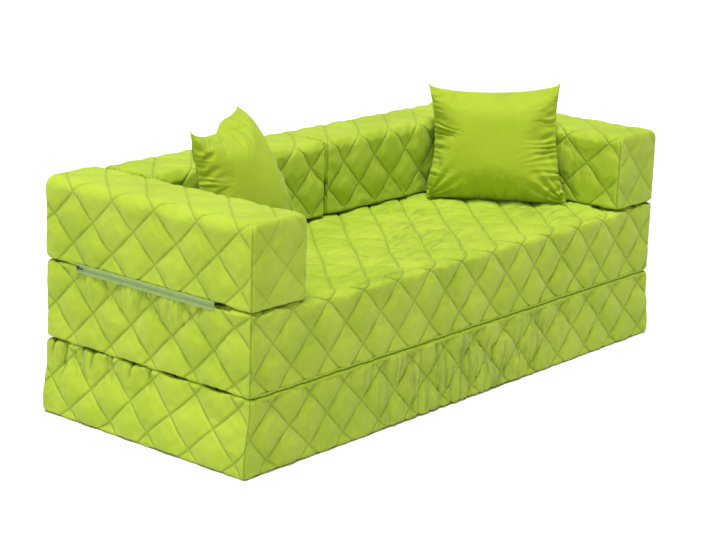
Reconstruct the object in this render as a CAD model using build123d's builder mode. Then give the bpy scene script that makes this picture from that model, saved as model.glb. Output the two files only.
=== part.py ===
from build123d import *
import math
import os

# A foam sofa bed in quilted covers. A base block and a seat block of the same plan lie on each other,
# sewn together along their front edges. Two arms and a backrest in two halves stand on the seat.
# Each of the four is joined to the seat's outer top edge by a zip, and the zip is its hinge.
# Two square throw pillows lean in the corners.
# The origin is on the floor under the middle of the base, +Z is up and the front faces -Y.

# Overall sizes
length = 2000.0
depth = 840.0
beam_width = 224.0
base_height = 230.0
seat_height = 244.0
ring_height = 252.0

# Clearances
hinge_offset = 3.0
end_gap = 2.0
split_gap = 7.0
loose_gap = 0.3
overrun = 10.0

# Quilted covers: wadding thickness, roundings of their edges, and the sewn channels
cover_thickness = 15.0
edge_round = 12.0
least_round = 2.0
seat_front_round = 28.0
ring_top_round = 35.0
seat_crown = 6.0
ring_crown = 5.0
channel_width = 6.0
channel_depth = 5.0
crown_step_share = 0.1
end_round_share = 0.8
diamonds_along_length = 13
diamonds_along_depth = 5
diamond_height = 160.0
base_first_row = 34.0
seat_first_row = 66.0
ring_first_row = 30.0

# Connecting zips, measured across from the hinge axis and along it
arm_zip_margin = 140.0
back_zip_margin = 105.0
teeth_width = 6.0
teeth_thickness = 2.5
tape_thickness = 0.9
tape_seat = 4.0
tape_lift = 0.2
stop_length = 3.0
stop_wall = 0.6
swing_radius = 6.8
slider_length = 12.0
slider_width = 9.6
slider_thickness = 6.0
slider_clearance = 0.3
pull_length = 24.0
pull_width = 6.0
pull_neck_width = 3.6
pull_neck_length = 3.4
pull_thickness = 1.2
pin_radius = 0.5
pin_clearance = 0.2
eye_wall = 0.3
ear_thickness = 1.2

# Sewn fold between the base and the seat
fold_margin = 20.0
fold_cord_radius = 2.2
fold_tape_seat = 6.0

# Throw pillows
pillow_size = 445.0
pillow_front_depth = 78.0
pillow_rear_depth = 34.0
pillow_cloth = 2.5
pillow_hem = 12.0
pillow_height_shares = (0.0, 0.36, 0.75, 1.0)
pillow_scale_shares = (1.0, 0.8, 0.5, 0.18)
pillow_draw_shares = (0.04, 0.012, -0.012, -0.01)
left_pillow_turn = 24.0
left_pillow_lean = 30.0
left_pillow_arm_gap = 90.0
left_pillow_back_gap = 14.0
right_pillow_turn = 55.0
right_pillow_lean = 36.0
right_pillow_arm_gap = 22.0
right_pillow_back_gap = 18.0

# Levels and faces that the blocks share
half_length = length / 2
half_depth = depth / 2
seat_level = base_height + seat_height
ring_level = seat_level + ring_height
arm_face = half_length - beam_width
back_face = half_depth - beam_width
quilt_pitch_x = length / diamonds_along_length
quilt_pitch_y = depth / diamonds_along_depth
fold_level = (seat_level + seat_crown) / 2

os.makedirs("parts", exist_ok=True)


def save(piece, name):
    """Label a finished piece and write it to its own file."""
    piece.label = name
    export_step(piece, f"parts/{name}.step")


def rounding(radius, inset):
    """Rounding of a surface that lies inset under one of the given radius."""
    return max(radius - inset, least_round)


def block_view(plane, width, height, crown, corner_rounds):
    """Straight-on view of a block: flat below, crowned on top, its four corners rounded."""
    half = width / 2
    shoulder = height - crown
    corners = ((-half, 0), (half, 0), (half, shoulder), (-half, shoulder))
    with BuildSketch(plane) as view:
        with BuildLine():
            Polyline(corners[3], corners[0], corners[1], corners[2])
            if crown > 0:
                ThreePointArc(corners[2], (0, height), corners[3])
            else:
                Line(corners[2], corners[3])
        make_face()
        for corner, radius in zip(corners, corner_rounds):
            fillet(view.vertices().sort_by_distance(corner)[0], radius)
    return view.sketch


def round_block(spans, along, crown, corner_rounds, inset):
    """Body that lies inset under a block's surface: one view pushed along the block, its ends softened."""
    (x_low, x_high), (y_low, y_high), (z_low, z_high) = spans
    width = x_high - x_low - 2 * inset
    reach = y_high - y_low - 2 * inset
    height = z_high - z_low - 2 * inset
    foot = ((x_low + x_high) / 2, (y_low + y_high) / 2, z_low + inset)
    rounds = [rounding(radius, inset) for radius in corner_rounds]
    with BuildPart() as block:
        if along == Axis.X:
            plane = Plane(origin=foot, x_dir=(0, 1, 0), z_dir=(1, 0, 0))
            extrude(block_view(plane, reach, height, crown, rounds), amount=width / 2, both=True)
        else:
            plane = Plane(origin=foot, x_dir=(1, 0, 0), z_dir=(0, -1, 0))
            extrude(block_view(plane, width, height, crown, rounds), amount=reach / 2, both=True)
        fillet(block.faces().filter_by(along).edges(), min(rounds) * end_round_share)
    return block.part


def stitch_net(plane, width, height, pitch_x, pitch_y, crossing):
    """Sewn channels of one face: what is left of the face between its diamonds."""
    half_x = pitch_x / 2
    half_y = pitch_y / 2
    diamond_share = 1 - channel_width / 2 * math.hypot(half_x, half_y) / (half_x * half_y)
    columns = math.ceil((width / 2 + abs(crossing[0])) / half_x) + 1
    rows = math.ceil((height / 2 + abs(crossing[1])) / half_y) + 1
    centres = []
    for column in range(-columns, columns + 1):
        for row in range(-rows, rows + 1):
            x = crossing[0] + column * half_x
            y = crossing[1] + row * half_y
            inside = abs(x) < width / 2 + half_x and abs(y) < height / 2 + half_y
            if (column + row) % 2 == 1 and inside:
                centres.append((x, y))
    reach_x = half_x * diamond_share
    reach_y = half_y * diamond_share
    with BuildSketch(plane.offset(overrun)) as net:
        Rectangle(width, height)
        with Locations(*centres):
            Polygon((reach_x, 0), (0, reach_y), (-reach_x, 0), (0, -reach_y), mode=Mode.SUBTRACT)
    return net.sketch


def face_nets(spans, faces, first_row, columns):
    """Channel nets of the named faces of a block, with their depths under the face's plane."""
    (x_low, x_high), (y_low, y_high), (z_low, z_high) = spans
    centre_x = (x_low + x_high) / 2
    centre_y = (y_low + y_high) / 2
    centre_z = (z_low + z_high) / 2
    width = x_high - x_low
    reach = y_high - y_low
    height = z_high - z_low
    row = height / 2 - first_row
    column_x, column_y = columns
    planes = {
        "front": (Plane((centre_x, y_low, centre_z), (1, 0, 0), (0, -1, 0)), width, column_x),
        "rear": (Plane((centre_x, y_high, centre_z), (-1, 0, 0), (0, 1, 0)), width, -column_x),
        "left": (Plane((x_low, centre_y, centre_z), (0, -1, 0), (-1, 0, 0)), reach, -column_y),
        "right": (Plane((x_high, centre_y, centre_z), (0, 1, 0), (1, 0, 0)), reach, column_y),
    }
    pitches = {"front": quilt_pitch_x, "rear": quilt_pitch_x, "left": quilt_pitch_y, "right": quilt_pitch_y}
    nets = []
    for face in faces:
        if face == "top":
            plane = Plane((centre_x, centre_y, z_high), (1, 0, 0), (0, 0, 1))
            nets.append(stitch_net(plane, width, reach, quilt_pitch_x, quilt_pitch_y, columns))
        else:
            plane, face_width, column = planes[face]
            nets.append(stitch_net(plane, face_width, height, pitches[face], diamond_height, (column, row)))
    return nets


def dome_zone():
    """Middle and size of the seat's open zone, between the arms, the backrest and the front rounding."""
    y_low = -half_depth + seat_front_round
    width = 2 * (arm_face - loose_gap)
    reach = back_face - loose_gap - y_low
    return y_low + reach / 2, width, reach


def dome_rise(x, y):
    """Height of the seat's low crown over the seat's level, at one place of the open zone."""
    middle_y, width, reach = dome_zone()
    across = seat_crown * (1 - (2 * x / width) ** 2)
    along = seat_crown * (1 + crown_step_share) * (1 - (2 * (y - middle_y) / reach) ** 2)
    return max(min(across, along), 0)


def make_dome():
    """Low crown of the seat: what two shallow arcs, pushed along and across the open zone, share."""
    middle_y, width, reach = dome_zone()
    root = (0, middle_y, seat_level)
    front = ((1, 0, 0), (0, -1, 0), width, seat_crown)
    side = ((0, 1, 0), (1, 0, 0), reach, seat_crown * (1 + crown_step_share))
    views = []
    for x_dir, z_dir, span, rise in (front, side):
        with BuildSketch(Plane(origin=root, x_dir=x_dir, z_dir=z_dir)) as view:
            with BuildLine():
                Line((-span / 2, 0), (span / 2, 0))
                ThreePointArc((span / 2, 0), (0, rise), (-span / 2, 0))
            make_face()
        views.append(view.sketch)
    with BuildPart() as dome:
        extrude(views[0], amount=reach / 2 + overrun, both=True)
        extrude(views[1], amount=width / 2 + overrun, both=True, mode=Mode.INTERSECT)
    return dome.part


def make_block(name, spans, along, crown, rounds, faces, first_row, crossing, dome=None):
    """Foam core of a block, and the quilted cover around it with its sewn channels."""
    with BuildPart() as foam:
        add(round_block(spans, along, crown, rounds, cover_thickness))
    save(foam.part, f"{name}_foam")

    with BuildPart() as cover:
        add(round_block(spans, along, crown, rounds, 0))
        if dome is not None:
            add(dome)
        cuts = [foam.part]
        for face, net in zip(faces, face_nets(spans, faces, first_row, crossing)):
            sink = crown if face == "top" else 0
            cuts.append(extrude(net, amount=-(overrun + channel_depth + sink), mode=Mode.PRIVATE))
        add(cuts, mode=Mode.SUBTRACT)
    save(cover.part, f"{name}_cover")


def make_blocks():
    """Base, seat, two arms and the two halves of the backrest."""
    plan = ((-half_length, half_length), (-half_depth, half_depth))
    low = edge_round
    high = ring_top_round
    ring_rounds = (low, low, high, high)
    seat_rounds = (low, low, low, seat_front_round)
    sides = ("front", "rear", "left", "right")
    ring_span = (seat_level, ring_level)

    base_spans = (*plan, (0, base_height))
    seat_spans = (*plan, (base_height, seat_level))
    faces = (*sides, "top")
    make_block("base", base_spans, Axis.X, 0, (low, low, low, low), sides, base_first_row, (0, 0))
    make_block("seat", seat_spans, Axis.X, 0, seat_rounds, faces, seat_first_row, (0, 0), make_dome())

    left_arm = ((-half_length, -arm_face), plan[1], ring_span)
    right_arm = ((arm_face, half_length), plan[1], ring_span)
    make_block("left_arm", left_arm, Axis.Y, ring_crown, ring_rounds, faces, ring_first_row, (0, 0))
    make_block("right_arm", right_arm, Axis.Y, ring_crown, ring_rounds, faces, ring_first_row, (0, 0))

    faces = ("front", "rear", "top")
    inner = split_gap / 2
    outer = arm_face - end_gap
    back_span = (back_face, half_depth)
    left_back = ((-outer, -inner), back_span, ring_span)
    right_back = ((inner, outer), back_span, ring_span)
    shift = quilt_pitch_x / 4
    make_block("left_back", left_back, Axis.X, ring_crown, ring_rounds, faces, ring_first_row, (shift, 0))
    make_block("right_back", right_back, Axis.X, ring_crown, ring_rounds, faces, ring_first_row, (-shift, 0))


def hinge_plane(point, outward):
    """Plane across a hinge axis: its x points away from the blocks and its y up."""
    along = Vector(*outward).cross(Vector(0, 0, 1))
    return Plane(origin=point, x_dir=outward, z_dir=along)


def tape_outline(start, bend, end, side):
    """Section of a fabric tape that runs from the axis to a block's face and then along the face."""
    face = -hinge_offset
    outer = face + tape_thickness
    root_outer = -tape_lift
    root_inner = root_outer - tape_thickness
    return [
        (root_outer, side * start),
        (root_inner, side * start),
        (face, side * bend),
        (face, side * end),
        (outer, side * end),
        (outer, side * bend),
    ]


def make_tape(name, plane, run, outline):
    """One fabric tape along a hinge."""
    with BuildPart() as tape:
        with BuildSketch(plane.offset(-run / 2)):
            Polygon(*outline, align=None)
        extrude(amount=run)
    save(tape.part, name)


def make_lower_tape(name, plane, run):
    """Seat's half of a zip's fabric, from the teeth down to the seat's face."""
    outline = tape_outline(teeth_width / 2, edge_round, edge_round + tape_seat, -1)
    make_tape(name, plane, run, outline)


def make_upper_tape(name, plane, run):
    """Arm's or backrest's half of a zip's fabric, cut back to swing around the slider."""
    outline = tape_outline(teeth_width / 2, edge_round, edge_round + tape_seat, 1)
    reach = swing_radius * math.sqrt(2)
    with BuildPart() as tape:
        with BuildSketch(plane.offset(-run / 2)):
            Polygon(*outline, align=None)
            Rectangle(reach, 2 * swing_radius, mode=Mode.SUBTRACT)
        extrude(amount=run)
    save(tape.part, name)


def make_teeth(name, plane, run):
    """Closed row of teeth along the hinge axis, with a stop around it at each end."""
    stop_size = (teeth_thickness + 2 * stop_wall, teeth_width + stop_wall)
    with BuildPart() as teeth:
        with BuildSketch(plane.offset(-run / 2)):
            Rectangle(teeth_thickness, teeth_width)
        extrude(amount=run)
        for start in (-run / 2, run / 2 - stop_length):
            with BuildSketch(plane.offset(start)):
                with Locations((0, stop_wall / 2)):
                    Rectangle(*stop_size)
            extrude(amount=stop_length)
    save(teeth.part, name)


def pin_offset():
    """Distance of the pull's pin from the hinge axis: its eye clears the slider's outer plate."""
    return slider_thickness / 2 + slider_clearance + pin_radius + pin_clearance + eye_wall


def make_slider(name, plane, place):
    """Slider around the teeth, open below for the seat's tape, with two ears and a pin outside."""
    inner = (teeth_thickness + 2 * slider_clearance, teeth_width + 2 * slider_clearance)
    slot_outer = -tape_lift + slider_clearance
    slot_inner = -tape_lift - tape_thickness - 2 * slider_clearance
    ear_inner = pull_neck_width / 2 + slider_clearance
    ear_reach = pin_radius + eye_wall + slider_clearance
    pin_out = pin_offset()
    with BuildPart() as slider:
        with BuildSketch(plane.offset(place - slider_length / 2)):
            Rectangle(slider_thickness, slider_width)
            Rectangle(*inner, mode=Mode.SUBTRACT)
            with Locations(((slot_outer + slot_inner) / 2, -slider_width / 2)):
                Rectangle(slot_outer - slot_inner, slider_width, mode=Mode.SUBTRACT)
        extrude(amount=slider_length)
        with BuildSketch(plane.offset(place - ear_reach)):
            for side in (1, -1):
                ear_root = slider_thickness / 2 - eye_wall
                ear_out = pin_out + pin_radius + eye_wall
                with Locations(((ear_root + ear_out) / 2, side * (ear_inner + ear_thickness / 2))):
                    Rectangle(ear_out - ear_root, ear_thickness)
        extrude(amount=2 * ear_reach)
        with BuildSketch(pin_plane(plane, place)):
            Circle(pin_radius)
        extrude(amount=ear_inner + ear_thickness / 2, both=True)
    save(slider.part, name)


def pin_plane(plane, place):
    """Plane through the middle of the pull's pin, square to the pin."""
    centre = plane.offset(place).from_local_coords((pin_offset(), 0))
    return Plane(origin=centre, x_dir=plane.x_dir, z_dir=plane.y_dir)


def make_pull(name, plane, place, lie):
    """Flat tab that turns about the slider's pin; it lies along the zip, towards lie."""
    across = pin_plane(plane, place)
    eye_radius = pin_radius + pin_clearance + eye_wall
    toward = -lie
    with BuildPart() as pull:
        with BuildSketch(across):
            Circle(eye_radius)
            with Locations((0, toward * pull_neck_length / 2)):
                Rectangle(pull_thickness, pull_neck_length)
            Circle(pin_radius + pin_clearance, mode=Mode.SUBTRACT)
        extrude(amount=pull_neck_width / 2, both=True)
        tab = pull_length - pull_neck_length
        with BuildSketch(across):
            with Locations((0, toward * (pull_neck_length + tab / 2))):
                Rectangle(pull_thickness, tab)
        extrude(amount=pull_width / 2, both=True)
    save(pull.part, name)


def make_zip(name, point, outward, run, park):
    """One connecting zip. Its slider is parked at the end that park names: 1 or -1 along the axis."""
    plane = hinge_plane(point, outward)
    place = park * (run / 2 - stop_length - slider_clearance - slider_length / 2)
    make_lower_tape(f"{name}_zip_lower_tape", plane, run)
    make_upper_tape(f"{name}_zip_upper_tape", plane, run)
    make_teeth(f"{name}_zip_teeth", plane, run)
    make_slider(f"{name}_zip_slider", plane, place)
    make_pull(f"{name}_zip_pull", plane, place, -park)


def make_zips():
    """The four connecting zips on the seat's outer top edges."""
    arm_run = depth - 2 * arm_zip_margin
    back_length = arm_face - end_gap - split_gap / 2
    back_run = back_length - 2 * back_zip_margin
    back_middle = (arm_face - end_gap + split_gap / 2) / 2
    side_x = half_length + hinge_offset
    rear_y = half_depth + hinge_offset
    make_zip("left_arm", (-side_x, 0, seat_level), (-1, 0, 0), arm_run, 1)
    make_zip("right_arm", (side_x, 0, seat_level), (1, 0, 0), arm_run, -1)
    make_zip("left_back", (-back_middle, rear_y, seat_level), (0, 1, 0), back_run, -1)
    make_zip("right_back", (back_middle, rear_y, seat_level), (0, 1, 0), back_run, 1)


def make_fold():
    """Sewn fold at the front: a piping cord on the axis, and a fabric flap to each block."""
    plane = hinge_plane((0, -half_depth - hinge_offset, fold_level), (0, -1, 0))
    run = length - 2 * fold_margin
    start = fold_cord_radius + loose_gap
    with BuildPart() as piping:
        with BuildSketch(plane.offset(-run / 2)):
            Circle(fold_cord_radius)
        extrude(amount=run)
    save(piping.part, "front_fold_piping")
    base_bend = fold_level - base_height + edge_round
    seat_bend = base_height + edge_round - fold_level + edge_round
    base_flap = tape_outline(start, base_bend, base_bend + fold_tape_seat, -1)
    seat_flap = tape_outline(start, seat_bend, seat_bend + fold_tape_seat, 1)
    make_tape("front_fold_base_flap", plane, run, base_flap)
    make_tape("front_fold_seat_flap", plane, run, seat_flap)


def pillow_section(plane, half, draw):
    """Square outline whose four sides are drawn in by draw at their middles."""
    corners = ((-half, -half), (half, -half), (half, half), (-half, half))
    middles = ((0, draw - half), (half - draw, 0), (0, half - draw), (draw - half, 0))
    with BuildSketch(plane) as section:
        with BuildLine():
            for number, middle in enumerate(middles):
                ThreePointArc(corners[number], middle, corners[(number + 1) % len(corners)])
        make_face()
    return section.sketch


def pillow_body(plane, half, front_depth, rear_depth):
    """Two domes on one seam outline, the front one fuller than the rear one."""
    with BuildPart() as body:
        for rise in (front_depth, -rear_depth):
            sections = []
            shares = zip(pillow_height_shares, pillow_scale_shares, pillow_draw_shares)
            for height_share, scale_share, draw_share in shares:
                level = plane.offset(rise * height_share)
                sections.append(pillow_section(level, half * scale_share, 2 * half * draw_share))
            loft(sections=sections)
    return body.part


def pillow_plane(side, turn, lean, arm_gap, back_gap, foot):
    """Seam plane of a pillow that leans across a corner, its lower edge at the level foot.

    Its two side edges pass the arm and the backrest at the given gaps, at the level where the
    roundings of their top edges begin.
    """
    turn = math.radians(turn)
    lean = math.radians(lean)
    half = pillow_size / 2
    heading = -side * turn
    width_dir = Vector(math.cos(heading), math.sin(heading), 0)
    back_dir = Vector(-math.sin(heading), math.cos(heading), 0)
    normal = Vector(0, 0, 1) * math.sin(lean) - back_dir * math.cos(lean)
    centre_z = foot + half * math.cos(lean)
    climb = (ring_level - ring_top_round - centre_z) / math.cos(lean)
    shift = back_dir * (climb * math.sin(lean))
    centre_x = side * (arm_face - arm_gap - half * math.cos(turn)) - shift.X
    centre_y = back_face - back_gap - half * math.sin(turn) - shift.Y
    return Plane(origin=(centre_x, centre_y, centre_z), x_dir=width_dir, z_dir=normal)


def seated_pillow_plane(*placing):
    """Seam plane of a pillow whose two lower corners stand on the seat's crown."""
    half = pillow_size / 2
    plane = pillow_plane(*placing, seat_level)
    corners = [plane.from_local_coords((across, -half)) for across in (-half, half)]
    rise = max(dome_rise(corner.X, corner.Y) for corner in corners)
    return pillow_plane(*placing, seat_level + rise + loose_gap)


def make_pillow(name, plane):
    """Plain cloth cover of a throw pillow around its filling."""
    half = pillow_size / 2
    front = pillow_front_depth - pillow_cloth
    rear = pillow_rear_depth - pillow_cloth
    with BuildPart() as filling:
        add(pillow_body(plane, half - pillow_hem, front, rear))
    save(filling.part, f"{name}_filling")
    with BuildPart() as cover:
        add(pillow_body(plane, half, pillow_front_depth, pillow_rear_depth))
        add(filling.part, mode=Mode.SUBTRACT)
    save(cover.part, f"{name}_cover")


def make_pillows():
    """Two throw pillows, one across each rear corner of the seat."""
    left = (left_pillow_turn, left_pillow_lean, left_pillow_arm_gap, left_pillow_back_gap)
    right = (right_pillow_turn, right_pillow_lean, right_pillow_arm_gap, right_pillow_back_gap)
    make_pillow("left_pillow", seated_pillow_plane(-1, *left))
    make_pillow("right_pillow", seated_pillow_plane(1, *right))


make_blocks()
make_zips()
make_fold()
make_pillows()
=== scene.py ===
# %% [markdown]
# # A quilted foam sofa bed
# Six foam blocks in lime quilted covers make a sofa: a base and a seat of the same plan lie on
# each other, and two arms and a backrest in two halves stand on the seat. Zips join them along
# their outer edges, a sewn fold joins the base and the seat at the front, and two square throw
# pillows lean in the corners. The construction model gives every place and size. This script
# dresses it, so it starts by loading that model and never moves a part of it.

# %% Load the construction model
import math

import bmesh
import bpy
import numpy as np
from mathutils import Matrix, Vector


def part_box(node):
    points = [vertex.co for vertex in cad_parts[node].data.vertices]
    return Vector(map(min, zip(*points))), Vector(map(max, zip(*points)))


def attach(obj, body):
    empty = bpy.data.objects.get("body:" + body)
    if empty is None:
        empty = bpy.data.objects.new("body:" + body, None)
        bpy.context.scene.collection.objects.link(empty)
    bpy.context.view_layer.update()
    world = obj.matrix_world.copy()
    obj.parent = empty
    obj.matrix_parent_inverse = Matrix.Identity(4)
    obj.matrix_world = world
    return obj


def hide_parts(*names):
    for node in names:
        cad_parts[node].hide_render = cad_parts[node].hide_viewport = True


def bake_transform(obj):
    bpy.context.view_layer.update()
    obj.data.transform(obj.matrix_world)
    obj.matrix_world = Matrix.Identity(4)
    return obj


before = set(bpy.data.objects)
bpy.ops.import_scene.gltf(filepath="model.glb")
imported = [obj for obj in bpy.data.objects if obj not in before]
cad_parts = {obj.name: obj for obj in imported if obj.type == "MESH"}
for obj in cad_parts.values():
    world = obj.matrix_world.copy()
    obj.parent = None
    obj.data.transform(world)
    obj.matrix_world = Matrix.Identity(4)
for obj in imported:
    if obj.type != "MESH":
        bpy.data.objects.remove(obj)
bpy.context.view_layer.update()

# %% [markdown]
# ## Sizes that the pieces share
# A quilt repeats, so it is measured in diamonds and not in millimetres. One diamond is ruled
# into sixteen cells each way. A seam that crosses a cell from corner to corner is then a real
# edge of the mesh, and it stays crisp when the cloth swells on both sides of it.

# %% Shared sizes, in metres
MM = 0.001
HALF_LENGTH = 1000 * MM
HALF_DEPTH = 420 * MM
BEAM_WIDTH = 224 * MM
BASE_TOP = 230 * MM
SEAT_TOP = 474 * MM
RING_TOP = 726 * MM
ARM_FACE = HALF_LENGTH - BEAM_WIDTH
BACK_FACE = HALF_DEPTH - BEAM_WIDTH
END_GAP = 2 * MM
SPLIT_GAP = 7 * MM
HINGE_OFFSET = 3 * MM
CELLS = 16
DIAMONDS_LONG = 13
DIAMONDS_DEEP = 5
DIAMONDS_BACK = 5
QUILT_DEPTH = 11 * MM
EDGE_FADE = 26 * MM
TINY = 1e-6
diamond = (2 * HALF_LENGTH / DIAMONDS_LONG, 2 * HALF_DEPTH / DIAMONDS_DEEP)
print("a diamond's width and depth in mm:", [round(size / MM, 1) for size in diamond])

# %% [markdown]
# ## Camera
# The photograph looks down at the near left corner from a distance, so the lens is long and the
# sofa's lines hardly converge. The camera's place and turn were worked out from the corners of
# the blocks. It is built from its three axes, because the picture is also tilted a little.

# %% Camera at the photograph's angle
PHOTO_WIDTH = 716
SENSOR = 36.0
FOCAL_PIXELS = 2004.1
EYE = Vector((-4.7827, -3.9752, 2.0072))
YAW = 0.871
PITCH = 0.2632
ROLL = 0.0295


def add_object(name, data):
    """New camera or lamp in the scene."""
    made = bpy.data.objects.new(name, data)
    bpy.context.scene.collection.objects.link(made)
    return made


def make_camera():
    """Camera whose frame is the photograph's."""
    run = math.cos(PITCH)
    forward = Vector((math.sin(YAW) * run, math.cos(YAW) * run, -math.sin(PITCH)))
    level = Vector((math.cos(YAW), -math.sin(YAW), 0))
    upright = level.cross(forward)
    right = level * math.cos(ROLL) + upright * math.sin(ROLL)
    up = upright * math.cos(ROLL) - level * math.sin(ROLL)
    data = bpy.data.cameras.new("camera")
    data.sensor_fit = "HORIZONTAL"
    data.sensor_width = SENSOR
    data.lens = FOCAL_PIXELS * SENSOR / PHOTO_WIDTH
    data.clip_end = 200
    camera = add_object("camera", data)
    turn = Matrix((right, up, -forward)).transposed().to_4x4()
    camera.matrix_world = Matrix.Translation(EYE) @ turn
    return camera


bpy.context.scene.camera = make_camera()
bpy.context.scene.view_settings.view_transform = "Standard"
print("lens", round(bpy.context.scene.camera.data.lens, 1), "mm")

# %% [markdown]
# ## Shader maths
# A material is a tree of small nodes, and sums of nodes are hard to read. One class wraps a
# node's output so that `+`, `-` and `*` add the Math nodes, and a second one holds the
# material and adds every other node by its type, its settings and its inputs. What the
# materials share, such as drawn-out noise or a soft band, has a short method there too.


# %% A node's output that can be added and multiplied
class Link:
    """Output of a node, for sums in plain Python."""

    def __init__(self, finish, socket):
        self.finish = finish
        self.socket = socket

    def __add__(self, other):
        return self.finish.maths("ADD", self, other)

    def __sub__(self, other):
        return self.finish.maths("SUBTRACT", self, other)

    def __rsub__(self, other):
        return self.finish.maths("SUBTRACT", other, self)

    def __mul__(self, other):
        return self.finish.maths("MULTIPLY", self, other)

    __radd__ = __add__
    __rmul__ = __mul__


# %% A material that is written node by node
class Finish:
    """Material with one main shader, and short ways to add nodes to it."""

    def __init__(self, name, colour, roughness, **uniform):
        self.material = bpy.data.materials.new(name)
        self.material.use_nodes = True
        self.material.diffuse_color = colour
        self.tree = self.material.node_tree
        self.shader = self.tree.nodes["Principled BSDF"]
        self.feed("Base Color", colour)
        self.feed("Roughness", roughness)
        for socket, value in uniform.items():
            self.feed(socket.replace("_", " "), value)

    def feed(self, name, value):
        """Set or link one input of the main shader."""
        self.join(self.shader.inputs[name], value)

    def join(self, socket, value):
        """Link an output to an input, or set the input's own value."""
        if isinstance(value, Link):
            self.tree.links.new(value.socket, socket)
        else:
            socket.default_value = value

    def node(self, kind, settings, inputs, output=0):
        """New node, with its settings first and then its inputs. Gives one output."""
        made = self.tree.nodes.new(f"ShaderNode{kind}")
        for name, value in settings.items():
            setattr(made, name, value)
        for name, value in inputs.items():
            self.join(made.inputs[name], value)
        return Link(self, made.outputs[output])

    def maths(self, operation, *values):
        """Math node of one operation."""
        return self.node("Math", {"operation": operation}, dict(enumerate(values)))

    def blend(self, factor, first, second):
        """Mix of two colours."""
        return self.node("Mix", {"data_type": "RGBA"}, {0: factor, 6: first, 7: second}, 2)

    def ramp(self, value, start, end, low=0.0, high=1.0):
        """Value that runs smoothly from low to high while the input runs from start to end."""
        inputs = {"Value": value, "From Min": start, "From Max": end, "To Min": low, "To Max": high}
        return self.node("MapRange", {"interpolation_type": "SMOOTHSTEP"}, inputs)

    def band(self, value, middle, near, far):
        """1 up to near from the middle, and 0 from far on."""
        return self.ramp(self.maths("ABSOLUTE", value - middle), near, far, 1.0, 0.0)

    def place(self):
        """Place in the object's own coordinates, in metres."""
        return self.node("TexCoord", {}, {}, "Object")

    def cloth_place(self, uv_map):
        """Place on a UV map, and its first and second number."""
        place = self.node("UVMap", {"uv_map": uv_map}, {})
        return place, *(self.node("SeparateXYZ", {}, {"Vector": place}, number) for number in (0, 1))

    def carried(self, name):
        """Number that the mesh carries at every point."""
        return self.node("Attribute", {"attribute_name": name}, {}, "Fac")

    def noise(self, place, scale, detail=2.0, roughness=0.5):
        """Soft cloudy pattern, from 0 to 1."""
        inputs = {"Vector": place, "Scale": scale, "Detail": detail, "Roughness": roughness}
        return self.node("TexNoise", {}, inputs)

    def streaks(self, place, scales, detail=2.0, roughness=0.5):
        """Cloudy pattern with its own scale along each axis."""
        drawn = self.node("Mapping", {"vector_type": "POINT"}, {"Vector": place, "Scale": scales})
        return self.noise(drawn, 1.0, detail, roughness)

    def weave(self, place, pitch):
        """Plain weave: threads over and under each other, with this many to a unit."""
        inputs = {"Vector": place, "Scale": pitch, "Distortion": 0.4}
        across, along = (self.node("TexWave", {"bands_direction": way}, inputs) for way in ("X", "Y"))
        return across * 0.5 + along * 0.5

    def mottled(self, pattern, dark, pale):
        """Colour that drifts between two with a cloudy pattern."""
        return self.blend(self.ramp(pattern, 0.35, 0.65), dark, pale)

    def matt(self, pattern, least, most):
        """Roughness that drifts between two values with a cloudy pattern."""
        self.feed("Roughness", self.ramp(pattern, 0.3, 0.7, least, most))

    def relief(self, height, distance):
        """Height pattern that the light sees as relief."""
        bump = {"Height": height, "Distance": distance, "Strength": 1.0}
        self.feed("Normal", self.node("Bump", {}, bump))


# %% [markdown]
# ## Cloth of the covers
# The covers are a dense lime microfibre. Close up there is a fine weave, then the sewing thread
# in its groove, then the small puckers that a seam pulls into the cloth, and last the long
# wrinkles where a cover is gathered. All of them follow the quilt, so they are drawn in quilt
# coordinates: one unit is one diamond, and a seam lies where u + v or u - v is a whole number.
# Shade is painted into the seams' grooves and the creases as a darker colour.

# %% Colours, as the light falls on them evenly
LIME = (0.412, 0.560, 0.017, 1)
LIME_DEEP = (0.335, 0.478, 0.008, 1)
LIME_PALE = (0.490, 0.630, 0.042, 1)
# Painted shade in the seams' grooves, the creases and the pleats; also the dark line of the corner seams.
SEAM_LINE_AND_SHADE = (0.225, 0.335, 0.010, 1)
PLAIN = (0.400, 0.530, 0.018, 1)
PLAIN_DEEP = (0.360, 0.485, 0.012, 1)
# Painted shade down the middle of the front fold.
SHADE = (0.060, 0.100, 0.004, 1)
TAPE = (0.370, 0.525, 0.180, 1)
TAPE_DEEP = (0.175, 0.275, 0.070, 1)
COIL = (0.37, 0.52, 0.20, 1)
COIL_DEEP = (0.25, 0.39, 0.13, 1)
METAL = (0.075, 0.085, 0.080, 1)
METAL_DEEP = (0.035, 0.040, 0.038, 1)
FOAM = (0.80, 0.76, 0.62, 1)
FOAM_DEEP = (0.62, 0.57, 0.42, 1)
FIBRE = (0.86, 0.86, 0.84, 1)
FIBRE_DEEP = (0.72, 0.72, 0.70, 1)
SHEEN_TINT = (0.90, 0.95, 0.65, 1)

# %% Quilted cloth, counted in diamonds
STITCHES = 27
PUCKERS = 11
THREADS = 46.0
SEAM_WIDTH = 0.055


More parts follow.
